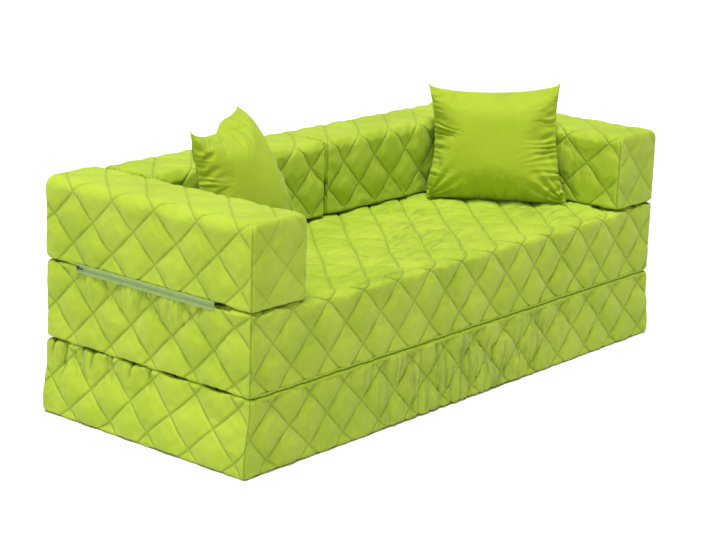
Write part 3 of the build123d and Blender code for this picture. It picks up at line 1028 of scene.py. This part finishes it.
def add_cloth(piece, pressure, growth, stiffness):
    """Cloth that swells by growth, held along its seams."""
    cloth = piece.modifiers.new("cloth", "CLOTH")
    settings = cloth.settings
    settings.quality = 4
    settings.mass = 0.25
    settings.air_damping = 3
    settings.tension_stiffness = settings.compression_stiffness = settings.shear_stiffness = stiffness
    settings.bending_stiffness = 0.6
    settings.use_pressure = True
    settings.uniform_pressure_force = pressure
    settings.shrink_min = -growth
    settings.vertex_group_mass = "held"
    settings.effector_weights.gravity = 0
    cloth.collision_settings.use_collision = False
    cloth.point_cache.frame_start = 1
    cloth.point_cache.frame_end = LAST_FRAME


def settle(piece, before, cap):
    """Simulated shape, with every point's movement eased off so that none goes further than cap."""
    evaluated = piece.evaluated_get(bpy.context.evaluated_depsgraph_get())
    after = np.empty(len(before) * 3)
    evaluated.data.vertices.foreach_get("co", after)
    move = after.reshape(-1, 3) - before
    reach = np.linalg.norm(move, axis=1)
    print(f"{piece.name}: cloth moved {reach.mean() * 1000:.1f} mm, at most {reach.max() * 1000:.1f}")
    return before + move * (cap * np.tanh(reach / cap) / np.maximum(reach, 1e-9))[:, None]


soft = [(piece, BLOCK_CLOTH, BLOCK_CAP) for piece in blocks.values()]
soft += [(piece, PILLOW_CLOTH, PILLOW_CAP) for piece in pillows.values()]
for piece, cloth, _ in soft:
    add_cloth(piece, **cloth)
starts = [read_points(piece) for piece, _, _ in soft]
for number in range(1, LAST_FRAME + 1):
    bpy.context.scene.frame_set(number)
settled = [settle(piece, start, cap) for (piece, _, cap), start in zip(soft, starts)]
for (piece, _, _), places in zip(soft, settled):
    piece.modifiers.clear()
    write_points(piece, places)
bpy.context.scene.frame_set(1)

# %% [markdown]
# ## Where the zips lie
# Four zips join the arms and the backrest halves to the seat along their outer edges, and each
# edge turns about its zip when the sofa is unfolded. Their places are needed already here,
# because the covers are pressed flat where a tape is sewn on them.

# %% Sizes and places of the zips
TAPE_REACH = 16 * MM
TAPE_BEND = 12 * MM
TAPE_THICKNESS = 0.9 * MM
ARM_RUN = 560 * MM
BACK_RUN = BACK_END - BACK_START - 210 * MM
BACK_MIDDLE = (BACK_END + BACK_START) / 2
HINGE_X = HALF_LENGTH + HINGE_OFFSET
HINGE_Y = HALF_DEPTH + HINGE_OFFSET
ZIPS = {
    "left_arm": {"middle": (-HINGE_X, 0, SEAT_TOP), "out": (-1, 0, 0), "run": ARM_RUN},
    "right_arm": {"middle": (HINGE_X, 0, SEAT_TOP), "out": (1, 0, 0), "run": ARM_RUN},
    "left_back": {"middle": (-BACK_MIDDLE, HINGE_Y, SEAT_TOP), "out": (0, 1, 0), "run": BACK_RUN},
    "right_back": {"middle": (BACK_MIDDLE, HINGE_Y, SEAT_TOP), "out": (0, 1, 0), "run": BACK_RUN},
}
print("zips of", round(ARM_RUN / MM), "and", round(BACK_RUN / MM), "mm")

# %% [markdown]
# ## Smoothing, wrinkles and fit
# One subdivision rounds the simulated cloth. Then come the wrinkles that a machine's gathering
# leaves: upright ones on the sides, and ones along the length on the seat. Last, each piece is
# held to the room it has, so that blocks that lie on each other touch and don't cut in.


# %% Finish a soft piece
def subdivide(piece):
    """One level of smooth subdivision, made real."""
    pick(piece)
    apply_modifier(piece, "SUBSURF", levels=1, render_levels=1)
    bpy.ops.object.shade_smooth()


def dress(piece, material, slot, *nodes):
    """Material of a piece, with the parts of the construction model that it stands for hidden; the slot is
    not used.
    """
    piece.data.materials.clear()
    piece.data.materials.append(material)
    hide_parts(*nodes)


def finish_padded(piece, body, fill, *finish):
    """Body and material of a soft piece, with the parts that it stands for hidden; the padding and the slot
    are not used.
    """
    piece.vertex_groups.clear()
    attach(piece, body)
    dress(piece, *finish)


# %% Wrinkles of the covers
SIDE_FOLDS = (0.030, 0.030, 0.40)
TOP_FOLDS = (1.0, 0.036, 0.40)
WRINKLE = 3.6 * MM
PLEAT_LEAN = 0.12
END_GAP_DEPTH = 11 * MM
# Each entry: the line of the seam above, how much shade is painted along the creases, and the creases.
PLEATS = {
    "base": (BASE_TOP, 1.0, ((385, 85, 11), (335, 190, 11), (262, 75, 9), (215, 100, 9), (140, 65, 8),
                             (54, 80, 9), (-20, 60, 6))),
    "seat": (SEAT_TOP - TAPE_REACH, 0.62, ((250, 72, 8), (205, 50, 6), (168, 60, 7), (106, 55, 6),
                                           (50, 70, 6), (10, 80, 8), (-122, 70, 6), (-155, 80, 8),
                                           (-215, 50, 5))),
}


def on_left_end(x, start, full):
    """1 on the sofa's left end and 0 inwards of it, between two depths in mm."""
    return smooth(-x, HALF_LENGTH - start * MM, HALF_LENGTH - full * MM)


def gather_field(name, places):
    """How strongly the cover is gathered at each place, from 0 to 1."""
    x, y, z = places.T
    field = 0.10 + 0.22 * smooth(waves(places, (0.5, 0.5, 0.5), 40 + len(name)), -0.3, 0.9)
    left = on_left_end(x, 20, 10)
    if name == "base":
        front = smooth(-y, HALF_DEPTH - 18 * MM, HALF_DEPTH - 10 * MM)
        field = field + 0.75 * front * bell(x + 50 * MM, 550 * MM)
        field = field + 0.60 * left * smooth(z, 50 * MM, 200 * MM) * smooth(y, -150 * MM, 150 * MM)
    if name == "seat":
        high = smooth(z, 340 * MM, 420 * MM)
        field = field + 0.55 * left * high * smooth(np.abs(y), 300 * MM, 200 * MM)
        field = field + 0.40 * smooth(z, SEAT_TOP - 19 * MM, SEAT_TOP - 4 * MM)
    return np.clip(field, 0, 1)


def pleats(places, line_top, darkness, creases):
    """Creases on the left end, where a seam above catches the cover: how deep, and how much shade is
    painted along them.

    Each crease is its place from the middle, how far down it runs and how deep it is, in mm.
    """
    x, y, z = places.T
    on_side = on_left_end(x, 30, 15)
    below = line_top - z
    dent, line = np.zeros(len(places)), np.zeros(len(places))
    for middle, length, depth in creases:
        away = y - middle * MM - PLEAT_LEAN * below
        dent += depth * MM * bell(away, 6 * MM + 0.02 * below) * smooth(below, length * MM, 0)
        # Painted shade along each crease, fading towards its lower end.
        fade = smooth(below, length * MM, 0.25 * length * MM)
        line = np.maximum(line, bell(away, 5.5 * MM) * fade)
    return dent * on_side, line * on_side * darkness


def end_gap(places):
    """Dark hollow in front of the left arm's zip, where its tape lets go of the two covers."""
    x, y, z = places.T
    ahead = -ARM_RUN / 2 - y
    hollow = bell(z - SEAT_TOP, 8 * MM) * smooth(ahead, 70 * MM, 10 * MM) * smooth(ahead, -10 * MM, 4 * MM)
    return END_GAP_DEPTH * hollow * on_left_end(x, 30, 15)


def wrinkle(places, normals, field):
    """Uneven long folds: upright on the sides, along the length on top."""
    upright = np.abs(normals[:, 2]) < 0.6
    sides = 1 - np.abs(waves(places, SIDE_FOLDS, 3, 14)) * WAVE_PEAK
    tops = 1 - np.abs(waves(places, TOP_FOLDS, 4, 14)) * WAVE_PEAK
    return np.where(upright, sides, tops) * field * WRINKLE


# %% Room that a cover has
FOAM_DEPTH = 13.5 * MM
SWELL = 2.5 * MM
BACK_SWELL = 1 * MM
ARM_SWELL = 0.5 * MM
CONTACT = 0.2 * MM
SEAT_CROWN = 6 * MM
BED_DEPTH = 0.6 * MM


def keep_off_foam(places, low, high):
    """Places with no seam deeper than the wadding, because the foam lies right under it."""
    inset = np.concatenate((places - low, high - places), axis=1)
    side = inset.argmin(axis=1)
    rows = np.arange(len(places))
    excess = np.clip(inset[rows, side] - FOAM_DEPTH, 0, None)
    places[rows, side % 3] += np.where(side < 3, -excess, excess)
    return places


def press_tape_bed(places):
    """Cloth pressed flat where a zip's tape is sewn on it."""
    beside = smooth(np.abs(places[:, 2] - SEAT_TOP), TAPE_REACH + 14 * MM, TAPE_REACH + 4 * MM)
    for plan in ZIPS.values():
        axis = 0 if plan["out"][0] else 1
        side = plan["out"][axis]
        along = places[:, 1 - axis] - plan["middle"][1 - axis]
        near = beside * smooth(np.abs(along), plan["run"] / 2 + 20 * MM, plan["run"] / 2)
        face = abs(plan["middle"][axis]) - HINGE_OFFSET
        reach = side * places[:, axis]
        close = (reach > face - 20 * MM) & (near > 0)
        flat = face - BED_DEPTH + 5 * MM * (1 - near)
        places[:, axis] = np.where(close & (reach > flat), side * flat, places[:, axis])
    return places


def reach_limits(name, plan):
    """Lowest and highest places of a cover, so that blocks that lie on each other don't cut in."""
    low, high = block_box(plan)
    below, above = np.full(3, SWELL), np.full(3, SWELL)
    below[2] = -CONTACT
    if name == "base":
        below[:] = (SWELL + plan["flare"], SWELL, 0)
        above[:] = (SWELL + plan["flare"], SWELL, -CONTACT)
    if name.endswith("back"):
        below[0] = above[0] = BACK_SWELL
    if name == "left_arm":
        above[0] = ARM_SWELL
    if name == "right_arm":
        below[0] = ARM_SWELL
    return low - below, high + above


def hold_to_room(name, plan, places):
    """Places within the room that a cover has between its neighbours, its foam and its zips."""
    places = np.clip(places, *reach_limits(name, plan))
    if name == "seat":
        under_ring = np.maximum(np.abs(places[:, 0]) - ARM_FACE, places[:, 1] - BACK_FACE)
        ceiling = SEAT_TOP - CONTACT + SEAT_CROWN * smooth(-under_ring, 0, 50 * MM)
        places[:, 2] = np.minimum(places[:, 2], ceiling)
    return press_tape_bed(keep_off_foam(places, *block_box(plan)))


# %% Finish the blocks
def corner_welt(plan, places):
    """1 along a block's four upright corner seams."""
    low, high = block_box(plan)
    x, y = places[:, 0] - flare_at(plan, places), places[:, 1]
    beside_x = np.minimum(np.abs(x - low[0]), np.abs(x - high[0]))
    beside_y = np.minimum(np.abs(y - low[1]), np.abs(y - high[1]))
    on_corner = smooth(np.maximum(beside_x, beside_y), 14 * MM, 8 * MM)
    return bell(beside_x - beside_y, 4 * MM) * on_corner


def mark(piece, **fields):
    """Keep one number for every point under each name, for the material."""
    for name, numbers in fields.items():
        attribute = piece.data.attributes.new(name, "FLOAT", "POINT")
        attribute.data.foreach_set("value", numbers.astype(np.float32))


def fit_block(piece, name, plan):
    """Subdivide, wrinkle and fit one quilted block."""
    subdivide(piece)
    places, normals = read_points(piece), read_normals(piece)
    field = gather_field(name, places)
    push = wrinkle(places, normals, field)
    line = 0
    if name in ("seat", "left_arm"):
        push -= end_gap(places)
    if name in PLEATS:
        dent, line = pleats(places, *PLEATS[name])
        push -= dent
    places = hold_to_room(name, plan, places + normals * push[:, None])
    write_points(piece, places)
    # Dark line along the corner seams, and painted shade along the pleats.
    welt = np.maximum(corner_welt(plan, places), line)
    mark(piece, gather=field, welt=welt, seam=seam_strength(name, places))
    finish_padded(piece, name, 0.8, quilted, "quilted_fabric", f"{name}_cover")


for block_name, block in blocks.items():
    fit_block(block, block_name, BLOCKS[block_name])


# %% [markdown]
# ## Gathers of the pillows
# The pillows' side seams are drawn together by the sewing, so short folds run in from them and
# fan out at the two lower corners. After that each pillow is held to the corner that it leans
# in: above the seat, before the backrest and beside the arm, over their rounded top edges.

# %% Fit the pillows between the seat, the arm and the backrest
GATHER_PITCH = 24 * MM
GATHER_HEIGHT = 5.5 * MM
FAN_HEIGHT = 5.0 * MM
FAN_FOLDS = 17
CREASE_DEPTH = 36 * MM
PRESSED_IN = 1.5 * MM
ARM_ROOM = 3 * MM
BACK_ROOM = 2 * MM


def pillow_shares(piece):
    """Where every point lies between the seams, from -1 to 1 across and up, by its cloth place."""
    mesh = piece.data
    flat = np.empty(len(mesh.loops) * 2)
    mesh.uv_layers["quilt"].uv.foreach_get("vector", flat)
    shares = np.zeros((len(mesh.vertices), 2))
    shares[corner_numbers(mesh)] = flat.reshape(-1, 2) / QUILT_STEP / PILLOW_CELLS * 2 - 1
    return shares.T


def pillow_gathers(across, up, plan):
    """Folds in from the side seams, fans at the lower corners and the crease under a bent ear."""
    half = PILLOW_SIZE / 2
    inset, level = (1 - np.abs(across)) * half, up * half
    flat = np.stack((across * half, level, np.zeros(len(level))), axis=-1)
    drift = 13 * MM * waves(flat, (0.13, 0.10, 1), 21)
    ridge = np.cos(2 * math.pi * (level + 0.30 * inset + drift) / GATHER_PITCH)
    reach = np.maximum(plan["gather_reach"] * (0.8 + 0.7 * waves(flat, (0.3, 0.06, 1), 8)), 14 * MM)
    uneven = 0.55 + 0.45 * waves(flat, (0.5, 0.05, 1), 33)
    strength = bell(inset, reach) * smooth(up, 1.0, 0.0) * (0.3 + 0.7 * smooth(inset, 0, 12 * MM))
    push = GATHER_HEIGHT * plan["gathers"] * ridge * strength * uneven
    for end in (-1, 1):
        away = np.hypot(across - end, up + 1)
        turn = np.arctan2(up + 1, end * (end - across) + 1e-9)
        fan = np.cos(turn * FAN_FOLDS + end) * smooth(away, 0.80, 0.30) * smooth(away, 0.02, 0.12)
        push += FAN_HEIGHT * plan["gathers"] * fan
    crease = bell(up - 1.0 + 0.45 * (across - NOTCH_AT), 0.05)
    crease *= smooth(across, NOTCH_AT, 0.16) * smooth(across, 0.85, 0.3)
    return push - plan["notch"] * CREASE_DEPTH * crease


def edge_room(height):
    """How much further back the rounded top edge of a ring block lets a pillow lie, at each height."""
    climb = np.clip(height - (RING_TOP - RING_ROUND), 0, RING_ROUND)
    return RING_ROUND - np.sqrt(RING_ROUND ** 2 - climb ** 2) + 4 * np.clip(height - RING_TOP, 0, None)


def fit_pillow(piece, name, plan):
    """Subdivide a pillow, gather it and hold it to the corner that it leans in."""
    subdivide(piece)
    across, up = pillow_shares(piece)
    places = read_points(piece)
    places = places + read_normals(piece) * pillow_gathers(across, up, plan)[:, None]
    seat_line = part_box(f"{name}_cover")[0][2] - PRESSED_IN
    places[:, 2] = np.maximum(places[:, 2], seat_line)
    room = edge_room(places[:, 2])
    arm_line = ARM_FACE - ARM_ROOM + room
    places[:, 1] = np.minimum(places[:, 1], BACK_FACE - BACK_ROOM + room)
    places[:, 0] = np.clip(places[:, 0], -arm_line, arm_line)
    write_points(piece, places)
    nodes = (f"{name}_cover", f"{name}_filling")
    finish_padded(piece, name, 0.6, pillow_cloth, "pillow_fabric", *nodes)


for pillow_name, pillow in pillows.items():
    fit_pillow(pillow, pillow_name, PILLOWS[pillow_name])

# %% [markdown]
# ## The connecting zips
# Each zip is a woven tape about 27 mm wide that is sewn to the seat's face below and to the
# arm's or backrest's face above, with a fine coil down its middle. The tape is one piece of
# cloth across the hinge.


# %% A band of cloth along a line
def strip(name, middle, along, run, profile, pitch):
    """Band of cloth: a profile of (out, up) points in metres, drawn along a line."""
    start_clean()
    rows = len(profile) - 1
    bpy.ops.mesh.primitive_grid_add(x_subdivisions=round(run / pitch), y_subdivisions=rows, size=2)
    piece = named(name)
    share = read_points(piece)
    row = np.rint((share[:, 1] + 1) / 2 * rows).astype(int)
    section = np.array(profile)[row]
    out = Vector(along).cross(Vector((0, 0, 1)))
    travel = share[:, 0] * run / 2
    places = np.array(middle) + travel[:, None] * np.array(along) + section[:, :1] * np.array(out)
    places[:, 2] += section[:, 1]
    write_points(piece, places)
    apply_modifier(piece, "SOLIDIFY", thickness=TAPE_THICKNESS, offset=0)
    bpy.ops.object.shade_smooth_by_angle(angle=math.radians(50))
    return piece


def clean_normals(piece):
    """Merge doubles and turn every face outwards."""
    pick(piece)
    bpy.ops.object.mode_set(mode="EDIT")
    bpy.ops.mesh.select_all(action="SELECT")
    bpy.ops.mesh.remove_doubles(threshold=TINY)
    bpy.ops.mesh.normals_make_consistent(inside=False)
    bpy.ops.object.mode_set(mode="OBJECT")


# %% Tape of each zip
TAPE_PITCH = 4 * MM
TAPE_FLAT = -HINGE_OFFSET + TAPE_THICKNESS / 2 + 0.1 * MM
TAPE_LIFTED = TAPE_FLAT + 0.4 * MM
TAPE_PROFILE = (
    (TAPE_FLAT, -TAPE_REACH - 1 * MM), (TAPE_FLAT, -TAPE_BEND), (TAPE_LIFTED, -9 * MM),
    (-1.3 * MM, -6.0 * MM), (-0.8 * MM, -3.4 * MM), (-0.65 * MM, 0), (-0.8 * MM, 3.4 * MM),
    (-1.3 * MM, 5.8 * MM), (TAPE_LIFTED, 7.4 * MM), (TAPE_FLAT, 8.2 * MM), (TAPE_FLAT, 10 * MM),
)


def make_tape_piece(name, plan):
    """Tape of one zip, which bulges over the coil."""
    middle = Vector(plan["middle"])
    along = Vector((0, 0, 1)).cross(Vector(plan["out"]))
    tape = strip(f"{name}_zip_tape", middle, along, plan["run"], TAPE_PROFILE, TAPE_PITCH)
    clean_normals(tape)
    dress(tape, tape_cloth, "zip_tape", f"{name}_zip_lower_tape", f"{name}_zip_upper_tape")
    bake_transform(tape)
    print(tape.name, len(tape.data.polygons), "faces")


for zip_name, zip_plan in ZIPS.items():
    make_tape_piece(zip_name, zip_plan)

# %% Coil of each zip
TOOTH_PITCH = 2.6 * MM
TOOTH = (1.05 * MM, 0.85 * MM, 2.7 * MM)


def make_coil(name, plan):
    """Row of small oval teeth along a zip, one modelled and the rest copied."""
    start_clean()
    bpy.ops.mesh.primitive_uv_sphere_add(segments=8, ring_count=5, radius=1, location=(0, 0, 0))
    piece = named(f"{name}_zip_coil")
    out = np.array(plan["out"], float)
    along = np.cross((0, 0, 1), out)
    tooth = read_points(piece) * TOOTH @ np.stack((out, along, (0, 0, 1)))
    middle = np.array(plan["middle"]) + 0.25 * MM * out
    count = int(plan["run"] / TOOTH_PITCH) - 3
    write_points(piece, tooth + middle - along * TOOTH_PITCH * (count - 1) / 2)
    apply_modifier(piece, "ARRAY", count=count, use_relative_offset=False, use_constant_offset=True,
                   constant_offset_displace=along * TOOTH_PITCH)
    bpy.ops.object.shade_smooth()
    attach(piece, "seat")
    dress(piece, coil_plastic, "zip_teeth", f"{name}_zip_teeth")
    print(piece.name, count, "teeth")


for zip_name, zip_plan in ZIPS.items():
    make_coil(zip_name, zip_plan)

# %% [markdown]
# ## The sewn fold at the front
# The seat hinges forward on a strip of cloth that is sewn into the joint between base and seat.
# From outside it shows only as a tight, puckered line between the two soft edges, so the strip
# dips into the joint, and seeded waves along it give the puckers. It is one piece of cloth over
# the hinge.

# %% Fold between the base and the seat
FOLD_RUN = 1960 * MM
FOLD_PITCH = 5 * MM
FOLD_AXIS = Vector((0, -HALF_DEPTH - HINGE_OFFSET, 240 * MM))
FOLD_PROFILE = ((-4.2, -21), (-4.6, -17), (-5.6, -13.4), (-9, -11.2), (-12, -10), (-9, -8.8),
                (-5.6, -6.6), (-4.6, -3), (-4.2, 1))


def make_fold():
    """Puckered strip across the front joint."""
    profile = np.array(FOLD_PROFILE) * MM
    piece = strip("front_fold_cloth", FOLD_AXIS, (1, 0, 0), FOLD_RUN, profile, FOLD_PITCH)
    places = read_points(piece)
    places[:, 2] += 0.9 * MM * waves(places, (0.05, 10, 10), 5)
    places[:, 1] += 0.8 * MM * waves(places, (0.02, 10, 10), 6)
    write_points(piece, places)
    clean_normals(piece)
    nodes = ("front_fold_piping", "front_fold_base_flap", "front_fold_seat_flap")
    dress(piece, fold_cloth, "fold_fabric", *nodes)
    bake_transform(piece)
    print(piece.name, len(piece.data.polygons), "faces")


make_fold()

# %% [markdown]
# ## Studio
# The photograph is a cut-out on white with soft, even light. A pale floor, a broad sun almost
# overhead, a weak softbox on the left and an even white sky give that, at a level where a
# colour renders about as it is written. The camera sees the floor white, and the floor still
# takes the sofa's shadow.

# %% Floor
FLOOR_GREY = (0.72, 0.72, 0.72, 1)
WHITE = (1.0, 1.0, 1.0, 1)


def make_floor():
    """Large pale floor that the camera sees as white."""
    start_clean()
    bpy.ops.mesh.primitive_plane_add(size=120, location=(0, 0, 0))
    floor = named("floor")
    finish = Finish("floor_white", FLOOR_GREY, 1.0, Specular_IOR_Level=0.0)
    rays = [finish.node("LightPath", {}, {}, ray) for ray in ("Is Camera Ray", "Is Glossy Ray")]
    finish.feed("Base Color", finish.blend(finish.maths("MAXIMUM", *rays), FLOOR_GREY, WHITE))
    floor.data.materials.append(finish.material)


make_floor()

# %% Light and sky
SUN_TOWARD = Vector((-0.22, -0.15, 1.0))
SUN_STRENGTH = 3.1
SUN_WIDTH = 26
SOFTBOX_PLACE = Vector((-3.6, 0.3, 2.3))
SOFTBOX_AIM = Vector((-1.0, 0.0, 0.35))
SOFTBOX_SIZE = 1.6
SOFTBOX_POWER = 20
SKY_STRENGTH = 0.33


def make_lamp(name, kind, energy, toward):
    """Lamp of one kind that shines from the direction toward."""
    data = bpy.data.lights.new(name, kind)
    data.energy = energy
    lamp = add_object(name, data)
    lamp.rotation_euler = toward.to_track_quat("Z", "Y").to_euler()
    return lamp


sun = make_lamp("overhead", "SUN", SUN_STRENGTH, SUN_TOWARD)
sun.data.angle = math.radians(SUN_WIDTH)
softbox = make_lamp("softbox", "AREA", SOFTBOX_POWER, SOFTBOX_PLACE - SOFTBOX_AIM)
softbox.location = SOFTBOX_PLACE
softbox.data.size = SOFTBOX_SIZE
world = bpy.data.worlds.new("sky")
bpy.context.scene.world = world
world.use_nodes = True
sky = world.node_tree.nodes["Background"].inputs
sky["Color"].default_value = WHITE
sky["Strength"].default_value = SKY_STRENGTH
print(len(bpy.data.lights), "lamps")
